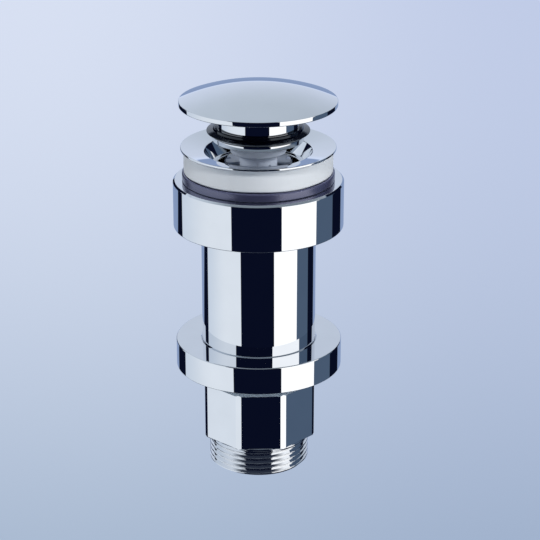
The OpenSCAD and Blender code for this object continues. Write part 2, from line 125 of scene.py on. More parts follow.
def low(node):
    """Return the height of a CAD node's lowest point."""
    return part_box(node)[0].z


def high(node):
    """Return the height of a CAD node's highest point."""
    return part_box(node)[1].z


def reach(node):
    """Return the radius of a round CAD node."""
    return (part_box(node)[1].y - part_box(node)[0].y) / 2


def length(name, description, default):
    """Return a length property in metres."""
    return bpy.props.FloatProperty(
        name=name, description=description, default=default, unit="LENGTH", precision=5
    )


def colour(name, description, default):
    """Return a colour property."""
    return bpy.props.FloatVectorProperty(
        name=name, description=description, default=default, subtype="COLOR", min=0, max=4
    )


def angle(name, description, degrees):
    """Return an angle property from a default in degrees."""
    return bpy.props.FloatProperty(
        name=name, description=description, default=math.radians(degrees), subtype="ANGLE"
    )


class PlugSizes(bpy.types.PropertyGroup):
    """Sizes of the cap, its seal and the plunger."""

    cap_rim: length("Cap rim", "Height of the cap's straight rim", 2 * MM)
    cap_rise: length("Cap rise", "Rise of the dome above its rim", 6.1 * MM)
    cap_edge: length("Cap edge", "Rounding between the dome and the rim", 0.25 * MM)
    cap_wall: length("Cap wall", "Thickness of the cap", 2.2 * MM)
    rim_wall: length("Rim wall", "Thickness of the cap's rim", 1.6 * MM)
    rim_foot: length("Rim foot", "Rounding at the foot of the cap's rim", 0.35 * MM)
    neck_radius: length("Neck radius", "Radius of the neck under the cap", 16.65 * MM)
    lip_height: length("Lip height", "Height of the lip's edge above the seal's foot", 1.55 * MM)
    lip_edge: length("Lip edge", "Thickness of the lip's edge", 0.3 * MM)
    bead_width: length("Bead width", "Width of the bead round the foot of the neck", 1.7 * MM)
    bead_height: length("Bead height", "Height of the bead above the root of the lip", 1.2 * MM)
    bead_edge: length("Bead edge", "Rounding of the bead", 0.6 * MM)
    plate_edge: length("Plate edge", "Rounding of the plate under the seal", 0.25 * MM)
    plate_top: length("Plate top", "Rounding of that plate's upper edge", 0.15 * MM)
    stud_radius: length("Stud radius", "Radius of the stud through the plug", reach("plug_stud"))
    barrel_radius: length("Barrel radius", "Radius of the plunger's barrel", 7.65 * MM)
    head_height: length("Head height", "Height of the plunger's head", 5.6 * MM)
    head_edge: length("Head edge", "Rounding of the plunger's head", 1.1 * MM)
    nib_radius: length("Nib radius", "Radius of the nib at the plunger's foot", 5.4 * MM)
    nib_height: length("Nib height", "Height of the nib at the plunger's foot", 2 * MM)
    stud_room: length("Stud room", "Room below the stud in the plunger", 0.5 * MM)
    track_depth: length("Track depth", "Depth of the cam track", 2.05 * MM)
    track_width: length("Track width", "Width of the cam track", 3.5 * MM)
    travel: length("Travel", "Travel of the plug between open and closed", 10 * MM)
    latch_turn: angle("Latch turn", "Turn of the latch ring during that travel", 60)


class BodySizes(bpy.types.PropertyGroup):
    """Sizes of the flange, its shank and the two gaskets."""

    rim_edge: length("Rim edge", "Rounding of the flange's upper edge", 0.25 * MM)
    under_edge: length("Under edge", "Rounding under the flange's rim", 0.12 * MM)
    dish: length("Dish", "Drop of the flange from its edge to the bowl's mouth", 3.1 * MM)
    lip: length("Hole lip", "Rounding of the flange's hole", 0.9 * MM)
    lip_out: length("Lip offset", "Distance of the lip outside the bowl's mouth", 0.6 * MM)
    lip_up: length("Lip rise", "Height of the lip above the bowl's mouth", 1.3 * MM)
    dish_sag: length("Dish sag", "Bulge of the dish above a straight cone", 0.03 * MM)
    hole_radius: length("Hole radius", "Radius of the flange's hole", 21.6 * MM)
    ledge_radius: length("Ledge radius", "Radius of the ledge in the bowl", 19.1 * MM)
    ledge_height: length("Ledge height", "Height of the ledge above the clamp plane", 3 * MM)
    bowl_wall: length("Bowl wall", "Wall of the bowl", 2 * MM)
    bowl_depth: length("Bowl depth", "Depth of the bowl's foot below the ledge", 2.5 * MM)
    bowl_foot: length("Bowl foot", "Height of the bowl's straight foot", 0.5 * MM)
    bowl_drop: length("Bowl drop", "Depth of the bowl's outer edge below its mouth", 1.2 * MM)
    bore_radius: length("Bore radius", "Radius of the shank's bore", 17 * MM)
    shank_radius: length("Shank radius", "Radius of the shank's thread", 19 * MM)
    throat_radius: length("Throat radius", "Radius of the bore below the spider", 15 * MM)
    nose_radius: length("Nose radius", "Radius of the shank's plain nose", 17.45 * MM)
    nose_length: length("Nose length", "Length of the shank's plain nose", 9.5 * MM)
    shank_pitch: length("Shank pitch", "Pitch of the shank's thread", 2 * MM)
    shank_depth: length("Shank thread depth", "Depth of the shank's thread", 1.1 * MM)
    upper_thread: length("Upper thread", "Length of the thread for the collar", 32 * MM)
    lower_thread: length("Lower thread", "Length of the thread for the tail", 27 * MM)
    run_out: length("Run-out", "Length over which a thread starts", 0.5 * MM)
    relief: length("Relief", "Depth of the grooves beside the threads", MM)
    relief_height: length("Relief height", "Height of the groove under the bowl", 0.6 * MM)
    white_edge: length("White gasket edge", "Rounding of the white gasket", 0.7 * MM)
    dark_edge: length("Dark gasket edge", "Rounding on top of the dark gasket", 0.7 * MM)
    dark_foot: length("Dark gasket foot", "Rounding below the dark gasket", 0.6 * MM)
    gasket_wave: length("Gasket wave", "Unevenness of the white gasket's lower edge", 0.4 * MM)


class StackSizes(bpy.types.PropertyGroup):
    """Sizes of the collar, sleeve, lower ring and tail."""

    collar_chamfer: length("Collar chamfer", "Chamfer on top of the collar", 0.75 * MM)
    collar_edge: length("Collar edge", "Rounding of that chamfer", 0.15 * MM)
    collar_foot: length("Collar foot", "Rounding at the collar's foot", 0.35 * MM)
    collar_wall: length("Collar wall", "Wall of the collar round its hollow", 4 * MM)
    collar_web: length("Collar web", "Thickness of the collar's top", 4.6 * MM)
    guide_wall: length("Guide wall", "Wall of the collar's guide round the sleeve", 2.2 * MM)
    tube_wall: length("Tube wall", "Wall of the sleeve", 2.1 * MM)
    ring_edge: length("Ring edge", "Rounding on top of the lower ring", 0.45 * MM)
    ring_foot: length("Ring foot", "Rounding at the lower ring's foot", 0.25 * MM)
    mouth: length("Ring mouth", "Chamfer at the mouth of the lower ring", 0.6 * MM)
    flat_radius: length("Flat radius", "Distance of the octagon's flats from the axis", 23 * MM)
    octagon_height: length("Octagon height", "Height of the octagon", 25.8 * MM)
    octagon_chamfer: length("Octagon chamfer", "Chamfer along the top of the flats", 1.2 * MM)
    octagon_foot: length("Octagon foot", "Chamfer along the bottom of the flats", 0.7 * MM)
    octagon_edge: length("Octagon edge", "Rounding of the octagon's edges", 0.3 * MM)
    corner_flat: length("Corner flat", "Flat on each corner of the octagon", 2.5 * MM)
    shoulder_height: length("Shoulder height", "Height of the shoulder above the octagon", 4.3 * MM)
    shoulder_step: length("Shoulder step", "Step from the shoulder to the flats", 1.3 * MM)
    octagon_turn: angle("Octagon turn", "Turn of the octagon from square to the front", 2.4)
    nose_room: length("Nose room", "Room round the ends of the shank's nose", 0.4 * MM)
    outlet_radius: length("Outlet radius", "Radius of the outlet thread's crests", 20.955 * MM)
    outlet_bore: length("Outlet bore", "Radius of the outlet's bore", 16.5 * MM)
    outlet_pitch: length("Outlet pitch", "Pitch of the outlet thread", 2.309 * MM)
    outlet_depth: length("Outlet depth", "Depth of the outlet thread", 1.479 * MM)
    outlet_start: bpy.props.FloatProperty(
        name="Outlet start", description="Share of a turn by which the outlet thread is turned",
        default=0.57, subtype="FACTOR", min=0, max=1,
    )
    outlet_relief: length("Outlet relief", "Height of the groove above the outlet thread", 1.2 * MM)
    lead_in: length("Lead-in", "Depth of the outlet's lead-in and of that groove", 1.5 * MM)
    lead_height: length("Lead height", "Height of the outlet's lead-in", MM)
    spring_radius: length("Spring radius", "Mean radius of the return spring", 6.32 * MM)
    spring_wire: length("Spring wire", "Radius of the return spring's wire", 0.515 * MM)


class StudioSettings(bpy.types.PropertyGroup):
    """Camera, light and colours of the studio."""

    camera_place: bpy.props.FloatVectorProperty(
        name="Camera place", description="Place of the camera",
        default=(4.7234 * MM, -748.136 * MM, 245.26 * MM), subtype="TRANSLATION",
    )
    camera_tilt: angle("Camera tilt", "Tilt of the camera below the horizon", 21.1206)
    camera_lens: bpy.props.FloatProperty(
        name="Lens", description="Focal length of the camera in millimetres", default=128.507
    )
    camera_sensor: bpy.props.FloatProperty(
        name="Sensor", description="Width of the camera's sensor in millimetres", default=36
    )
    floor_drop: length("Floor drop", "Depth of the floor below the clamp plane", 0.42)
    softbox: colour("Softbox", "Large softbox on the left", (0.85, 0.905, 0.97))
    softbox_end: colour("Softbox end", "Dimmer far end of that softbox", (0.67, 0.752, 0.86))
    softbox_top: colour("Softbox top", "Dimmer top of that softbox", (0.36, 0.42, 0.53))
    panel: colour("Panel", "Bright panel on the right", (1.3, 1.3, 1.3))
    slate: colour("Slate", "Dim panel at the far right", (0.078, 0.119, 0.188))
    dark: colour("Dark", "Dark room round the camera", (0.0029, 0.0047, 0.017))
    ceiling_edge: colour("Ceiling, edge", "Bright lower edge of the ceiling", (0.74, 0.85, 1.1))
    ceiling_low: colour("Ceiling, low", "Ceiling near the horizon", (0.655, 0.725, 0.87))
    ceiling_high: colour("Ceiling, high", "Ceiling overhead", (0.53, 0.6, 0.685))
    ceiling_front: colour("Ceiling, front", "Ceiling over the camera", (0.22, 0.26, 0.305))
    wall: colour("Wall", "Wall behind the object", (0.265, 0.352, 0.555))
    under: colour("Under", "Ground below the object", (0.03, 0.038, 0.06))
    ambient: colour("Ambient", "Even light on matt parts", (0.16, 0.172, 0.195))
    # Colours of the floor's glow, which carry painted light: light far off, darker near the foot, and
    # painted shade on the right
    ground_far: colour("Ground, far", "Background at the top", (0.782, 0.848, 1.01))
    ground_near: colour("Ground, near", "Background at the foot", (0.337, 0.439, 0.587))
    ground_right: colour("Ground, right", "Tint of the background on the right", (0.77, 0.805, 0.895))


class FinishColours(bpy.types.PropertyGroup):
    """Colours of the finishes."""

    chrome_plate: colour("Chrome", "Bright chrome plate", (0.8, 0.82, 0.85))
    bare_brass: colour("Brass", "Machined brass", (0.72, 0.53, 0.25))
    spring_steel: colour("Steel", "Drawn stainless steel", (0.58, 0.59, 0.61))
    black_rubber: colour("Black rubber", "Rubber of the seal", (0.001, 0.0015, 0.006))
    dark_gasket: colour("Dark gasket", "Violet-grey rubber on the collar", (0.044, 0.046, 0.09))
    # Painted light: this grey is much lighter than the plunger's own plastic, standing in for light
    # bounced from the chrome into the shade under the cap
    grey_plastic: colour("Grey plastic", "Plastic of the plunger", (0.7, 0.78, 0.92))
    nylon: colour("Nylon", "Natural nylon of the washer", (0.75, 0.74, 0.69))
    white_gasket: colour("White gasket", "Soft gasket under the flange", (0.8, 0.82, 0.83))


class Wire:
    """A shader socket that takes part in sums, each of which adds a Math node."""

    def __init__(self, tree, socket=None):
        self.tree = tree
        self.socket = socket

    def node(self, kind, settings=None, inputs=None, output=0):
        """Add a node, set it, feed it values or wires, and return one of its outputs."""
        made = self.tree.nodes.new(kind)
        for key, value in (settings or {}).items():
            setattr(made, key, value)
        for key, value in (inputs or {}).items():
            if isinstance(value, Wire):
                self.tree.links.new(value.socket, made.inputs[key])
            else:
                made.inputs[key].default_value = value
        return Wire(self.tree, made.outputs[output] if made.outputs else None)

    def math(self, operation, first, second=0.0):
        """Return the result of a Math node."""
        return self.node("ShaderNodeMath", {"operation": operation}, {0: first, 1: second})

    def __add__(self, other):
        return self.math("ADD", self, other)

    def __sub__(self, other):
        return self.math("SUBTRACT", self, other)

    def __rsub__(self, other):
        return self.math("SUBTRACT", other, self)

    def __mul__(self, other):
        return self.math("MULTIPLY", self, other)

    def __truediv__(self, other):
        return self.math("DIVIDE", self, other)

    def __rtruediv__(self, other):
        return self.math("DIVIDE", other, self)

    __radd__ = __add__
    __rmul__ = __mul__

    def smooth(self, start, end):
        """Return a soft step from 0 at start to 1 at end."""
        return self.node(
            "ShaderNodeMapRange", {"interpolation_type": "SMOOTHSTEP"},
            {"Value": self, "From Min": start, "From Max": end},
        )

    def mix(self, first, second):
        """Return the blend of two colours by this wire."""
        return self.node("ShaderNodeMix", {"data_type": "RGBA"}, {0: self, 6: first, 7: second}, 2)


def opaque(tint, factor=1.0):
    """Return a colour with alpha, made lighter or darker by a factor."""
    return (tint[0] * factor, tint[1] * factor, tint[2] * factor, 1.0)


def finish_material(slot):
    """Return a procedural material with mottled colour and roughness and a fine relief."""
    tint = getattr(bpy.context.scene.waste_finish, slot)
    rough, rough_spread, grain, relief, constants = SURFACES[slot]
    made = bpy.data.materials.new(slot + FINISH)
    made.use_nodes = True
    tree = made.node_tree
    start = Wire(tree)
    spot = start.node("ShaderNodeTexCoord", output="Object")
    mottle = start.node(
        "ShaderNodeTexNoise", None, {"Vector": spot, "Scale": MOTTLE_GRAIN, "Detail": 3.0}
    )
    fine = start.node("ShaderNodeTexNoise", None, {"Vector": spot, "Scale": grain, "Detail": 2.0})
    inputs = {
        "Base Color": mottle.mix(opaque(tint, 1 - TINT_SPREAD), opaque(tint, 1 + TINT_SPREAD)),
        "Roughness": rough + (mottle - 0.5) * rough_spread,
        "Normal": start.node("ShaderNodeBump", None, {"Height": fine, "Distance": relief}),
    }
    shader = tree.nodes["Principled BSDF"]
    for key, value in inputs.items():
        tree.links.new(value.socket, shader.inputs[key])
    for key, value in constants.items():
        shader.inputs[key].default_value = value
    return made


def finish(slot):
    """Return the material of one of the record's slots, made on its first use."""
    return bpy.data.materials.get(slot + FINISH) or finish_material(slot)


def deselect():
    """Leave edit mode and clear the selection."""
    if bpy.context.object and bpy.context.object.mode != "OBJECT":
        bpy.ops.object.mode_set(mode="OBJECT")
    bpy.ops.object.select_all(action="DESELECT")


def arc(centre, radius, start, end, steps):
    """Return points along an arc about a centre, with angles in degrees."""
    angles = [math.radians(start + (end - start) * i / steps) for i in range(steps + 1)]
    return [(centre[0] + radius * math.cos(a), centre[1] + radius * math.sin(a)) for a in angles]


def rows(radius, start, end, count):
    """Return evenly spaced points along an upright wall."""
    return [(radius, start + (end - start) * i / count) for i in range(count + 1)]


def fillet(before, corner, after, steps=5):
    """Return the arc that rounds a corner by its third value."""
    r, z, size = corner
    ways = []
    for other in (before, after):
        reach_to = math.hypot(other[0] - r, other[1] - z)
        ways.append(((other[0] - r) / reach_to, (other[1] - z) / reach_to))
    (back_r, back_z), (on_r, on_z) = ways
    half = math.acos(max(-1.0, min(1.0, back_r * on_r + back_z * on_z))) / 2
    way_in = size / math.sin(half) / math.hypot(back_r + on_r, back_z + on_z)
    centre = (r + (back_r + on_r) * way_in, z + (back_z + on_z) * way_in)
    touch = size / math.tan(half)
    first = math.atan2(z + back_z * touch - centre[1], r + back_r * touch - centre[0])
    last = math.atan2(z + on_z * touch - centre[1], r + on_r * touch - centre[0])
    sweep = (last - first + math.pi) % FULL_TURN - math.pi
    return arc(centre, size, math.degrees(first), math.degrees(first + sweep), steps)


def outline(corners):
    """Return the outline through the corners, with those of three values rounded."""
    points = []
    for i, corner in enumerate(corners):
        if len(corner) == 2:
            points.append(corner)
        else:
            points += fillet(corners[i - 1], corner, corners[(i + 1) % len(corners)])
    return points


def turn(name, corners, segments=192):
    """Draw an outline by extruding a point, and spin it round the axis into a solid."""
    points = outline(corners)
    if points[0][0] > 0 or points[-1][0] > 0:
        points.append(points[0])
    deselect()
    bpy.ops.mesh.primitive_plane_add(size=MM)
    piece = bpy.context.object
    piece.name = name
    bpy.ops.object.mode_set(mode="EDIT")
    bpy.ops.mesh.merge(type="CENTER")
    bpy.ops.transform.translate(value=(points[0][0], 0, points[0][1]))
    for start, end in zip(points, points[1:]):
        step = (end[0] - start[0], 0, end[1] - start[1])
        bpy.ops.mesh.extrude_vertices_move(TRANSFORM_OT_translate={"value": step})
    bpy.ops.mesh.select_all(action="SELECT")
    bpy.ops.mesh.spin(steps=segments, angle=FULL_TURN, center=(0, 0, 0), axis=(0, 0, 1))
    tidy_mesh()
    return piece


def tidy_mesh():
    """Merge doubles, turn normals outwards, leave edit mode and smooth round faces."""
    bpy.ops.mesh.select_all(action="SELECT")
    bpy.ops.mesh.remove_doubles(threshold=MERGE_DISTANCE)
    bpy.ops.mesh.normals_make_consistent(inside=False)
    bpy.ops.object.mode_set(mode="OBJECT")
    bpy.ops.object.shade_smooth_by_angle(angle=SMOOTH_ANGLE)


def combine(piece, other, operation):
    """Cut a piece with another, or keep what they share, and drop the other."""
    deselect()
    bpy.context.view_layer.objects.active = piece
    piece.select_set(True)
    bpy.ops.object.modifier_add(type="BOOLEAN")
    step = piece.modifiers[-1]
    step.operation = operation
    step.object = other
    bpy.ops.object.modifier_apply(modifier=step.name)
    deselect()
    other.select_set(True)
    bpy.ops.object.delete()
    bpy.context.view_layer.objects.active = piece
    piece.select_set(True)
    bpy.ops.object.shade_smooth_by_angle(angle=SMOOTH_ANGLE)


def join(piece, others):
    """Join other pieces into one piece."""
    deselect()
    for other in others:
        other.select_set(True)
    piece.select_set(True)
    bpy.context.view_layer.objects.active = piece
    bpy.ops.object.join()


def cut_thread(piece, crest, depth, pitch, bottom, top, start=0.0):
    """Press a right-hand thread into a turned wall, fading out at its ends."""
    inmost = crest - 1.2 * depth
    flank, root, fade_length = 1.5, 0.25, 0.5 * pitch
    for vertex in piece.data.vertices:
        x, y, z = vertex.co
        radius = math.hypot(x, y)
        if bottom < z < top and radius > inmost:
            phase = (z / pitch - math.atan2(y, x) / FULL_TURN + start) % 1
            rise = min(1, max(0, flank * (1 - abs(2 * phase - 1)) - root))
            fade = min(1, (z - bottom) / fade_length, (top - z) / fade_length)
            wanted = min(radius, crest - depth * fade * (1 - rise))
            vertex.co = (x * wanted / radius, y * wanted / radius, z)


def place(piece, body, slot, *nodes):
    """Even out a piece's shading, give it the material of its slot, hang it on its body and hide the
    CAD nodes it stands for.
    """
    deselect()
    piece.select_set(True)
    bpy.context.view_layer.objects.active = piece
    bpy.ops.object.modifier_add(type="WEIGHTED_NORMAL")
    step = piece.modifiers[-1]
    step.keep_sharp = True
    step.weight = 100
    bpy.ops.object.modifier_apply(modifier=step.name)
    piece.data.materials.clear()
    piece.data.materials.append(finish(slot))
    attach(piece, body)
    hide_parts(*nodes)


def make_cap(sizes):
    """Model the domed cap with its rim and neck."""
    radius, apex, foot = reach("plug_cap"), high("plug_cap"), low("plug_cap")
    rim_top = apex - sizes.cap_rise
    rim_low = rim_top - sizes.cap_rim
    dome = (radius ** 2 + sizes.cap_rise ** 2) / (2 * sizes.cap_rise)
    inside = dome - sizes.cap_wall
    wall = radius - sizes.rim_wall
    centre = (0, apex - dome)
    edge_angle = math.degrees(math.acos(radius / dome))
    wall_angle = math.degrees(math.acos(wall / inside))
    neck_angle = math.degrees(math.acos(sizes.neck_radius / inside))
    corners = arc(centre, dome, 90, edge_angle, steps=40)[:-1]
    corners[0] = (0, apex)
    corners += [
        (radius, rim_top, sizes.cap_edge), (radius, rim_low, sizes.rim_foot), (wall, rim_low, EDGE),
    ]
    corners += arc(centre, inside, wall_angle, neck_angle, steps=12)
    corners += [(sizes.neck_radius, foot, SMALL_EDGE), (0, foot)]
    place(turn("cap", corners, BRIGHT_SEGMENTS), "plug", "chrome_plate", "plug_cap")


def make_seal(sizes):
    """Model the rubber seal with its bead and flaring lip."""
    bottom, top, lip_radius = low("plug_seal"), high("plug_seal"), reach("plug_seal")
    bore = sizes.stud_radius + SEAT_GAP
    bead = sizes.neck_radius + sizes.bead_width
    corners = [
        (bore, bottom), (reach("seal_retainer") - SMALL_EDGE, bottom, SMALL_EDGE),
        (lip_radius, bottom + sizes.lip_height, FINE_EDGE),
        (lip_radius, bottom + sizes.lip_height + sizes.lip_edge, FINE_EDGE),
        (bead, top - sizes.bead_height, EDGE), (bead, top, sizes.bead_edge), (bore, top),
    ]
    place(turn("seal", corners), "plug", "black_rubber", "plug_seal")


def make_retainer(sizes):
    """Model the chromed plate under the seal."""
    bottom, top, radius = low("seal_retainer"), high("seal_retainer"), reach("seal_retainer")
    bore = sizes.stud_radius + SEAT_GAP
    corners = [
        (bore, bottom), (radius, bottom, sizes.plate_edge),
        (radius, top, sizes.plate_top), (bore, top),
    ]
    place(turn("retainer", corners), "plug", "chrome_plate", "seal_retainer")


def make_plunger(sizes):
    """Model the plunger: a round head, and a barrel with two closed cam tracks."""
    bottom, top, radius = low("plunger"), high("plunger"), reach("plunger")
    barrel, nib, stud = sizes.barrel_radius, sizes.nib_radius, sizes.stud_radius
    head = top - sizes.head_height
    nib_top = bottom + sizes.nib_height
    bore_end = low("plug_stud") - sizes.stud_room
    corners = [
        (0, bottom), (nib, bottom, EDGE), (nib, nib_top), (barrel, nib_top, EDGE),
        (barrel, head, EDGE), (radius, head, sizes.head_edge), (radius, top, SMALL_EDGE),
        (stud, top), (stud, bore_end), (0, bore_end),
    ]
    piece = turn("plunger_body", corners, segments=128)
    floor = barrel - sizes.track_depth
    pins = (low("latch_pins") + high("latch_pins")) / 2
    travel, turned, width = sizes.travel, sizes.latch_turn, sizes.track_width
    chord = 2 * (barrel - sizes.track_depth / 2) * math.sin(turned / 2)
    slant = math.atan(chord / travel)
    middle = pins + travel / 2
    slanted_out = floor * math.cos(turned / 2) + barrel / 2
    slanted_size = (barrel, width, travel / math.cos(slant) + width)
    upright_out = floor + barrel / 2
    upright_size = (barrel, width, travel + width)
    for side in (0, math.pi):
        back = side - turned
        cut_leg(piece, slanted_out, side - turned / 2, middle, slanted_size, slant)
        cut_leg(piece, upright_out, back, middle, upright_size, 0)
        groove = make_groove(floor, 2 * barrel, pins, width, back, turned)
        combine(piece, groove, "DIFFERENCE")
    place(piece, "plug", "grey_plastic", "plunger")


def cut_leg(piece, out, bearing, height, size, slant):
    """Cut one straight leg of a cam track, slanted by an angle, into the plunger."""
    deselect()
    spot = (out * math.cos(bearing), out * math.sin(bearing), height)
    bpy.ops.mesh.primitive_cube_add(size=1, location=spot)
    bpy.ops.transform.resize(value=size)
    bpy.ops.object.transform_apply(location=False, rotation=False, scale=True)
    bpy.context.object.rotation_euler = (slant, 0, bearing)
    combine(piece, bpy.context.object, "DIFFERENCE")


def make_groove(inner, outer, height, width, start, sweep):
    """Model part of a ring, the cutter that joins the two legs of a cam track."""
    past_end = 1.25
    deselect()
    bpy.ops.mesh.primitive_plane_add(size=1, rotation=(math.pi / 2, 0, 0))
    bpy.ops.transform.resize(value=(outer - inner, 1, width))
    bpy.ops.transform.translate(value=((inner + outer) / 2, 0, height))
    bpy.ops.object.transform_apply()
    bpy.ops.object.mode_set(mode="EDIT")
    bpy.ops.mesh.select_all(action="SELECT")
    bpy.ops.mesh.spin(steps=24, angle=sweep * past_end, center=(0, 0, 0), axis=(0, 0, 1))
    bpy.ops.mesh.select_all(action="SELECT")
    bpy.ops.mesh.normals_make_consistent(inside=False)
    bpy.ops.object.mode_set(mode="OBJECT")
    bpy.context.object.rotation_euler = (0, 0, start)
    return bpy.context.object


def bowl_outside(sizes):
    """Return the two corners of the bowl's outside, at its foot and under the flange."""
    foot = sizes.ledge_height - sizes.bowl_depth + sizes.bowl_foot
    edge = high("waste_flange") - sizes.dish - sizes.bowl_drop
    wall = sizes.bowl_wall
    return [(sizes.ledge_radius + wall, foot), (sizes.hole_radius + wall, edge)]


def dish_outline(sizes):
    """Return the corners of the flange's dish, from its rim to the rounded lip of the hole."""
    top, radius = high("waste_flange"), reach("waste_flange")
    lip_radius = sizes.hole_radius + sizes.lip_out
    lip_z = top - sizes.dish + sizes.lip_up
    corners = [(radius, top, sizes.rim_edge)]
    parts = 10
    for i in range(1, parts):
        part = i / parts
        bulge = 4 * sizes.dish_sag * part * (1 - part)
        corners.append((radius + (lip_radius - radius) * part, top + (lip_z - top) * part + bulge))
    return corners + [(lip_radius, lip_z, sizes.lip)]


def make_flange(sizes):
    """Model the flange, bowl and threaded shank in one piece."""
    bottom, radius, under = low("waste_flange"), reach("waste_flange"), high("flange_gasket")
    bore, throat, nose = sizes.bore_radius, sizes.throat_radius, sizes.nose_radius
    shank, pitch, depth = sizes.shank_radius, sizes.shank_pitch, sizes.shank_depth
    root = shank - sizes.relief
    step = low("spider")
    nose_top = bottom + sizes.nose_length
    shoulder = sizes.ledge_height - sizes.bowl_depth
    thread_top = shoulder - sizes.relief_height
    upper_start = shoulder - sizes.upper_thread - sizes.relief
    lower_end = nose_top + sizes.lower_thread
    upper_rows = round(sizes.upper_thread / pitch * SHANK_ROWS)
    lower_rows = round(sizes.lower_thread / pitch * SHANK_ROWS)
    outside = bowl_outside(sizes)
    corners = dish_outline(sizes)
    corners += [
        (sizes.ledge_radius, sizes.ledge_height, EDGE), (bore, sizes.ledge_height, BROAD_EDGE),
        (bore, step), (throat, step), (throat, bottom), (nose, bottom, BROAD_EDGE),
        (nose, nose_top), (root, nose_top),
    ]
    corners += rows(shank, nose_top + sizes.relief, lower_end, lower_rows)
    corners += rows(shank, upper_start, thread_top, upper_rows)
    corners += [(root, thread_top + FINE_EDGE), (root, shoulder), (outside[0][0], shoulder)]
    corners += outside
    corners += [(reach("flange_gasket"), under), (radius, under, sizes.under_edge)]
    piece = turn("flange", corners, segments=160)
    cut_thread(piece, shank, depth, pitch, upper_start + sizes.run_out, thread_top)
    cut_thread(piece, shank, depth, pitch, nose_top + sizes.run_out, lower_end - sizes.run_out)
    place(piece, "waste_body", "chrome_plate", "waste_flange")


def make_white_gasket(sizes):
    """Model the soft white gasket, with a slightly uneven lower edge."""
    radius, top = reach("flange_gasket"), high("flange_gasket")
    outside = bowl_outside(sizes)
    corners = [(outside[0][0], 0), (radius, 0, sizes.white_edge)]
    corners += rows(radius, sizes.white_edge + EDGE, top, count=12)
    corners += reversed(outside)
    piece = turn("white_gasket", corners)
    fade_height, even_share = 5 * MM, 0.8
    for vertex in piece.data.vertices:
        x, y, z = vertex.co
        bearing = math.atan2(y, x)
        swell = 0.5 + 0.25 * math.sin(3 * bearing + 1) + 0.25 * math.sin(7 * bearing)
        outer = max(0, math.hypot(x, y) / radius - even_share) / (1 - even_share)
        lower = max(0, 1 - z / fade_height)
        vertex.co.z = z + sizes.gasket_wave * swell * lower * outer
    place(piece, "waste_body", "white_gasket", "flange_gasket")


def make_dark_gasket(sizes):
    """Model the dark rubber gasket on the collar."""
    bottom, top, radius = low("collar_gasket"), high("collar_gasket"), reach("collar_gasket")
    inner = sizes.shank_radius + SLIDE_GAP
    corners = [
        (inner, bottom, BROAD_EDGE), (radius, bottom, sizes.dark_foot),
        (radius, top, sizes.dark_edge), (inner, top, BROAD_EDGE),
    ]
    place(turn("dark_gasket", corners), "collar_seat", "dark_gasket", "collar_gasket")


def make_collar(sizes, shank):
    """Model the collar: a web with the thread's bore, a guide sleeve and an outer wall."""
    bottom, top, radius = low("clamp_collar"), high("clamp_collar"), reach("clamp_collar")
    chamfer = sizes.collar_chamfer
    bore = shank + SEAT_GAP
    guide = reach("sleeve_tube") + SLIDE_GAP
    guide_outside = guide + sizes.guide_wall
    hollow = radius - sizes.collar_wall
    web = top - sizes.collar_web
    corners = [
        (bore, web, EDGE), (guide, web), (guide, bottom, BROAD_EDGE),
        (guide_outside, bottom, EDGE), (guide_outside, web), (hollow, web), (hollow, bottom, EDGE),
        (radius, bottom, sizes.collar_foot), (radius, top - chamfer, sizes.collar_edge),
        (radius - chamfer, top, sizes.collar_edge), (bore, top, EDGE),
    ]
    place(turn("collar", corners, BRIGHT_SEGMENTS), "collar", "chrome_plate", "clamp_collar")


def make_sleeve(sizes):
    """Model the smooth sleeve."""
    bottom, top, radius = low("sleeve_tube"), high("sleeve_tube"), reach("sleeve_tube")
    inner = radius - sizes.tube_wall
    corners = [
        (inner, bottom), (radius, bottom), (radius, top, BROAD_EDGE), (inner, top, EDGE),
    ]
    place(turn("sleeve", corners, BRIGHT_SEGMENTS), "sleeve", "chrome_plate", "sleeve_tube")


def make_ring(sizes):
    """Model the lower ring with its chamfered mouth."""
    bottom, top, radius = low("lower_ring"), high("lower_ring"), reach("lower_ring")
    inner = reach("sleeve_tube") + SEAT_GAP
    corners = [
        (inner, bottom), (radius, bottom, sizes.ring_foot), (radius, top, sizes.ring_edge),
        (inner + sizes.mouth, top, FINE_EDGE), (inner, top - sizes.mouth),
    ]
    place(turn("ring", corners, BRIGHT_SEGMENTS), "sleeve", "chrome_plate", "lower_ring")


def make_washer(inner):
    """Model the slip washer under the lower ring."""
    bottom, top, radius = low("slip_washer"), high("slip_washer"), reach("slip_washer")
    corners = [
        (inner, bottom), (radius, bottom, SMALL_EDGE), (radius, top, SMALL_EDGE), (inner, top),
    ]
    place(turn("washer", corners), "sleeve", "nylon", "slip_washer")


def add_prism(low_flat, high_flat, bottom, top, turned):
    """Add an eight-sided block whose flats stand at one distance below and another on top."""
    deselect()
    to_corner = 1 / math.cos(HALF_FLAT_ANGLE)
    bpy.ops.mesh.primitive_cone_add(
        vertices=8, radius1=low_flat * to_corner, radius2=high_flat * to_corner,
        depth=top - bottom, location=(0, 0, (bottom + top) / 2),
        rotation=(0, 0, HALF_FLAT_ANGLE + turned),
    )
    bpy.ops.object.transform_apply()
    return bpy.context.object


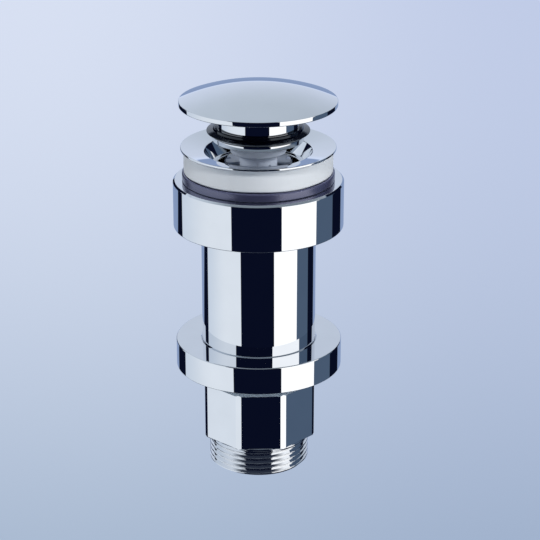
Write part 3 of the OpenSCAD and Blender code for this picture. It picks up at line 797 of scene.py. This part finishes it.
def make_octagon(sizes, bottom, top):
    """Model the octagon with flat corners, chamfered flats and rounded edges."""
    flat, turned, height = sizes.flat_radius, sizes.octagon_turn, top - bottom
    cut_back = sizes.corner_flat / 2 * math.tan(HALF_FLAT_ANGLE)
    corner = flat / math.cos(HALF_FLAT_ANGLE) - cut_back
    head = flat - sizes.octagon_chamfer
    foot = flat - sizes.octagon_foot
    piece = add_prism(flat, flat, bottom, top, turned)
    piece.name = "tail"
    corners = add_prism(corner, corner, bottom - MM, top + MM, turned + HALF_FLAT_ANGLE)
    combine(piece, corners, "INTERSECT")
    combine(piece, add_prism(head + height, head, bottom, top, turned), "INTERSECT")
    combine(piece, add_prism(foot, foot + height, bottom, top, turned), "INTERSECT")
    bpy.ops.object.modifier_add(type="BEVEL")
    rounding = piece.modifiers[-1]
    rounding.width = sizes.octagon_edge
    rounding.segments = 3
    rounding.limit_method = "ANGLE"
    rounding.angle_limit = BEVEL_ANGLE
    bpy.ops.object.modifier_apply(modifier=rounding.name)
    return piece


def make_outlet(sizes, top):
    """Model the threaded outlet below the octagon."""
    bottom, bore, outlet = low("tail_piece"), sizes.outlet_bore, sizes.outlet_radius
    thread_top = top - sizes.outlet_relief
    root = outlet - sizes.lead_in
    lead_top = bottom + sizes.lead_height
    count = round((thread_top - bottom) / sizes.outlet_pitch * OUTLET_ROWS)
    corners = [(bore, bottom, EDGE), (root, bottom), (outlet - EDGE, lead_top - FINE_EDGE)]
    corners += rows(outlet, lead_top, thread_top, count)
    corners += [(root, thread_top + SMALL_EDGE), (root, top), (bore, top)]
    piece = turn("outlet", corners)
    cut_thread(
        piece, outlet, sizes.outlet_depth, sizes.outlet_pitch,
        bottom + FINE_EDGE, thread_top + FINE_EDGE, sizes.outlet_start,
    )
    return piece


def make_tail(sizes, body):
    """Model the tail: spigot, octagon for the wrench and threaded outlet."""
    top, shoulder_top = high("tail_piece"), low("slip_washer")
    octagon_top = shoulder_top - sizes.shoulder_height
    octagon_low = octagon_top - sizes.octagon_height
    piece = make_octagon(sizes, octagon_low, octagon_top)
    outlet_bore = sizes.outlet_bore
    nose = body.nose_radius + SEAT_GAP
    shank = body.shank_radius + SEAT_GAP
    pocket = low("waste_flange") - sizes.nose_room
    step = low("waste_flange") + body.nose_length - sizes.nose_room
    bore = turn("bore", [
        (0, octagon_low - MM), (outlet_bore, octagon_low - MM), (outlet_bore, pocket), (nose, pocket),
        (nose, step), (shank, step), (shank, octagon_top + MM), (0, octagon_top + MM),
    ])
    combine(piece, bore, "DIFFERENCE")
    shoulder = sizes.flat_radius - sizes.shoulder_step
    spigot_radius = reach("sleeve_tube") - sizes.tube_wall - SLIDE_GAP
    spigot = turn("spigot", [
        (shank, octagon_top), (shoulder, octagon_top), (shoulder, shoulder_top, SMALL_EDGE),
        (spigot_radius, shoulder_top), (spigot_radius, top, BROAD_EDGE), (shank, top, EDGE),
    ])
    join(piece, [spigot, make_outlet(sizes, octagon_low)])
    place(piece, "tail", "chrome_plate", "tail_piece")


def make_spring(sizes):
    """Model the return spring by screwing a round section up the axis and trimming its ends."""
    bottom, top = low("return_spring"), high("return_spring")
    coils, coil_steps = 7, 40
    pitch = (top - bottom - 2 * sizes.spring_wire) / (coils - 1)
    deselect()
    bpy.ops.mesh.primitive_circle_add(
        vertices=16, radius=sizes.spring_wire, rotation=(math.pi / 2, 0, 0),
        location=(sizes.spring_radius, 0, bottom - pitch / 2 + sizes.spring_wire),
    )
    piece = bpy.context.object
    piece.name = "spring"
    bpy.ops.object.transform_apply()
    bpy.ops.object.modifier_add(type="SCREW")
    step = piece.modifiers[-1]
    step.axis = "Z"
    step.screw_offset = pitch
    step.iterations = coils
    step.steps = coil_steps
    step.render_steps = coil_steps
    bpy.ops.object.modifier_apply(modifier=step.name)
    bpy.ops.object.mode_set(mode="EDIT")
    for height, side in ((bottom, False), (top, True)):
        bpy.ops.mesh.select_all(action="SELECT")
        bpy.ops.mesh.bisect(
            plane_co=(0, 0, height), plane_no=(0, 0, 1), use_fill=True,
            clear_inner=not side, clear_outer=side,
        )
    tidy_mesh()
    place(piece, "waste_body", "spring_steel", "return_spring")
    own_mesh(piece)


class WASTE_OT_plug(bpy.types.Operator):
    """Model the cap, seal, retainer and plunger"""

    bl_idname = "waste.plug"
    bl_label = "Plug"

    def execute(self, context):
        sizes = context.scene.waste_plug
        make_cap(sizes)
        make_seal(sizes)
        make_retainer(sizes)
        make_plunger(sizes)
        return {"FINISHED"}


class WASTE_OT_body(bpy.types.Operator):
    """Model the flange and the two gaskets"""

    bl_idname = "waste.body"
    bl_label = "Flange and gaskets"

    def execute(self, context):
        sizes = context.scene.waste_body
        make_flange(sizes)
        make_white_gasket(sizes)
        make_dark_gasket(sizes)
        return {"FINISHED"}


class WASTE_OT_stack(bpy.types.Operator):
    """Model the collar, sleeve, lower ring and washer"""

    bl_idname = "waste.stack"
    bl_label = "Collar and sleeve"

    def execute(self, context):
        sizes = context.scene.waste_stack
        make_collar(sizes, context.scene.waste_body.shank_radius)
        make_sleeve(sizes)
        make_ring(sizes)
        make_washer(reach("sleeve_tube") - sizes.tube_wall)
        return {"FINISHED"}


class WASTE_OT_tail(bpy.types.Operator):
    """Model the tail with its octagon and outlet thread"""

    bl_idname = "waste.tail"
    bl_label = "Tail"

    def execute(self, context):
        make_tail(context.scene.waste_stack, context.scene.waste_body)
        return {"FINISHED"}


class WASTE_OT_mechanism(bpy.types.Operator):
    """Model the return spring and give the cartridge's other parts their materials"""

    bl_idname = "waste.mechanism"
    bl_label = "Cartridge"

    def execute(self, context):
        make_spring(context.scene.waste_stack)
        for part in frame["record"]["subparts"]:
            node = frame["nodes"][part["node"]]
            node.data.materials.clear()
            node.data.materials.append(finish(part["material_slot"]))
        return {"FINISHED"}


class WASTE_OT_studio(bpy.types.Operator):
    """Set up the camera, lamps, floor and the studio that the chrome shows"""

    bl_idname = "waste.studio"
    bl_label = "Studio"

    def execute(self, context):
        settings = context.scene.waste_studio
        add_camera(settings)
        add_floor(settings)
        add_world(settings)
        for name, (spot, width, power) in LAMPS.items():
            add_lamp(name, spot, width, power)
        context.scene.view_settings.view_transform = "Standard"
        return {"FINISHED"}


def add_camera(settings):
    """Add the camera that the photo was fitted with."""
    deselect()
    tilt = math.pi / 2 - settings.camera_tilt
    bpy.ops.object.camera_add(location=settings.camera_place, rotation=(tilt, 0, 0))
    camera = bpy.context.object
    camera.data.sensor_width = settings.camera_sensor
    camera.data.lens = settings.camera_lens
    bpy.context.scene.camera = camera


def add_lamp(name, spot, width, power):
    """Add a soft square lamp that shines at the object and isn't seen in the chrome."""
    deselect()
    bpy.ops.object.light_add(type="AREA", location=spot)
    lamp = bpy.context.object
    lamp.name = name
    lamp.data.size = width
    lamp.data.energy = power
    lamp.rotation_euler = lamp.location.to_track_quat("Z", "Y").to_euler()
    lamp.visible_glossy = False


def add_floor(settings):
    """Add the pale floor that fills the picture behind the object. For the camera it mostly glows,
    with painted light in its colour: lighter far off, darker near the foot, and painted shade towards
    the right.
    """
    deselect()
    bpy.ops.mesh.primitive_plane_add(size=12, location=(0, 0, -settings.floor_drop))
    floor = bpy.context.object
    floor.name = "floor"
    floor.visible_glossy = False
    ground = bpy.data.materials.new("ground")
    ground.use_nodes = True
    tree = ground.node_tree
    tree.nodes.clear()
    start = Wire(tree)
    spot = start.node("ShaderNodeTexCoord", output="Object")
    x, y = (start.node("ShaderNodeSeparateXYZ", None, {0: spot}, axis) for axis in "XY")
    nearest, fall, fall_start, widening, fade = 0.4, 2.05, 0.72, 6.7, 0.5
    # Painted light falloff: the floor's colour runs from light far off to dark near the foot, with
    # painted shade towards the right that fades with distance
    away = start.math("MAXIMUM", y - settings.camera_place[1], nearest)
    down = fall / away - fall_start
    across = (x / away * widening).smooth(-0.9, 1.1)
    painted_falloff = down.smooth(-0.15, 1.45).mix(opaque(settings.ground_far), opaque(settings.ground_near))
    tint = start.node(
        "ShaderNodeMix", {"data_type": "RGBA", "blend_type": "MULTIPLY"},
        {0: across * (1 - down * fade), 6: painted_falloff, 7: opaque(settings.ground_right)}, 2,
    )
    plain = start.node("ShaderNodeBsdfDiffuse", None, {"Color": tint})
    bright = start.node("ShaderNodeEmission", None, {"Color": tint})
    seen = start.node("ShaderNodeLightPath", output="Is Camera Ray")
    # The floor mostly glows for the camera, so its painted falloff shows in place of light
    own_light = 0.85
    blend = start.node("ShaderNodeMixShader", None, {0: seen * own_light, 1: plain, 2: bright})
    start.node("ShaderNodeOutputMaterial", None, {"Surface": blend})
    floor.data.materials.append(ground)


def between(bearing, height, edges):
    """Return 1 between two edges, each given as its bearing and its lean."""
    (left, left_lean), (right, right_lean) = edges
    inside = (bearing - height * left_lean).smooth(left - PANEL_BLUR, left + PANEL_BLUR)
    past = (bearing - height * right_lean).smooth(right - PANEL_BLUR, right + PANEL_BLUR)
    return inside * (1 - past)


def room_colour(settings, bearing, height):
    """Return the colour of the panels, the wall and the ground by direction in degrees."""
    aloft = height.smooth(29, 39)
    softbox = bearing.smooth(-127, -65).mix(opaque(settings.softbox_end), opaque(settings.softbox))
    softbox = aloft.mix(softbox, opaque(settings.softbox_top))
    room = between(bearing, height, SOFTBOX_EDGES).mix(opaque(settings.dark), softbox)
    panel = between(bearing, height, PANEL_EDGES) * (1 - aloft)
    room = panel.mix(room, opaque(settings.panel))
    room = between(bearing, height, SLATE_EDGES).mix(room, opaque(settings.slate))
    step_in = height.smooth(-24, -18) * 14
    step_out = height.smooth(-18, -16.6) * 25
    left_of_wall = (bearing - (step_in - step_out + WALL_LEFT)).smooth(-PANEL_BLUR, PANEL_BLUR)
    right_of_wall = bearing.smooth(WALL_RIGHT - PANEL_BLUR, WALL_RIGHT + PANEL_BLUR)
    room = (right_of_wall + (1 - left_of_wall)).mix(room, opaque(settings.wall))
    return height.smooth(-40, -31).mix(opaque(settings.under), room)


def ceiling_colour(settings, start, bearing, height, across):
    """Return the colour of the ceiling, which is dim over the camera and bright at its edge."""
    rightward_fall, dim_bearing = 0.15, 20
    ceiling = height.smooth(5, 45).mix(opaque(settings.ceiling_low), opaque(settings.ceiling_high))
    ceiling = height.smooth(4, 9).mix(opaque(settings.ceiling_edge), ceiling)
    ceiling = start.node(
        "ShaderNodeVectorMath", {"operation": "SCALE"},
        {0: ceiling, "Scale": 1 - across * rightward_fall},
    )
    turned = start.math("ABSOLUTE", bearing - dim_bearing)
    return turned.smooth(70, 130).mix(opaque(settings.ceiling_front), ceiling)


def add_world(settings):
    """Build the studio as panels by direction, which only reflections see."""
    world = bpy.data.worlds.new("studio")
    world.use_nodes = True
    bpy.context.scene.world = world
    tree = world.node_tree
    tree.nodes.clear()
    start = Wire(tree)
    way = start.node("ShaderNodeTexCoord", output="Generated")
    x, y, z = (start.node("ShaderNodeSeparateXYZ", None, {0: way}, axis) for axis in "XYZ")
    bearing = start.math("ARCTAN2", x, y * -1.0) * math.degrees(1)
    height = start.math("ARCSINE", z) * math.degrees(1)
    room = room_colour(settings, bearing, height)
    ceiling = ceiling_colour(settings, start, bearing, height, x)
    drop_behind = 29.5
    lowered = start.math("ABSOLUTE", bearing).smooth(125, 160) * drop_behind
    above = (height + lowered).smooth(34.5, 35.5)
    glossy = start.node("ShaderNodeLightPath", output="Is Glossy Ray")
    direct = start.node("ShaderNodeLightPath", output="Is Camera Ray")
    plain = direct.mix(opaque(settings.ambient), opaque(settings.ground_far))
    shown = glossy.mix(plain, above.mix(room, ceiling))
    sky = start.node("ShaderNodeBackground", None, {"Color": shown})
    start.node("ShaderNodeOutputWorld", None, {"Surface": sky})


class WASTE_PT_panel(bpy.types.Panel):
    """Buttons that model the basin waste piece by piece"""

    bl_label = "Basin waste"
    bl_space_type = "VIEW_3D"
    bl_region_type = "UI"
    bl_category = "Basin waste"

    def draw(self, context):
        for step in STEPS:
            self.layout.operator(step.bl_idname)
        for group in GROUPS:
            sizes = getattr(context.scene, group)
            self.layout.label(text=sizes.__doc__)
            for name in sizes.__annotations__:
                self.layout.prop(sizes, name)


STEPS = (
    WASTE_OT_plug, WASTE_OT_body, WASTE_OT_stack,
    WASTE_OT_tail, WASTE_OT_mechanism, WASTE_OT_studio,
)
GROUPS = {
    "waste_plug": PlugSizes,
    "waste_body": BodySizes,
    "waste_stack": StackSizes,
    "waste_finish": FinishColours,
    "waste_studio": StudioSettings,
}


def register():
    """Register the add-on and hang its settings on the scene."""
    for kind in (*GROUPS.values(), *STEPS, WASTE_PT_panel):
        bpy.utils.register_class(kind)
    for name, kind in GROUPS.items():
        setattr(bpy.types.Scene, name, bpy.props.PointerProperty(type=kind))


def unregister():
    """Undo what register did."""
    for name in GROUPS:
        delattr(bpy.types.Scene, name)
    for kind in reversed((*GROUPS.values(), *STEPS, WASTE_PT_panel)):
        bpy.utils.unregister_class(kind)


def main():
    """Model every piece and set up the studio."""
    register()
    bpy.ops.waste.plug()
    bpy.ops.waste.body()
    bpy.ops.waste.stack()
    bpy.ops.waste.tail()
    bpy.ops.waste.mechanism()
    bpy.ops.waste.studio()


if __name__ == "__main__":
    main()
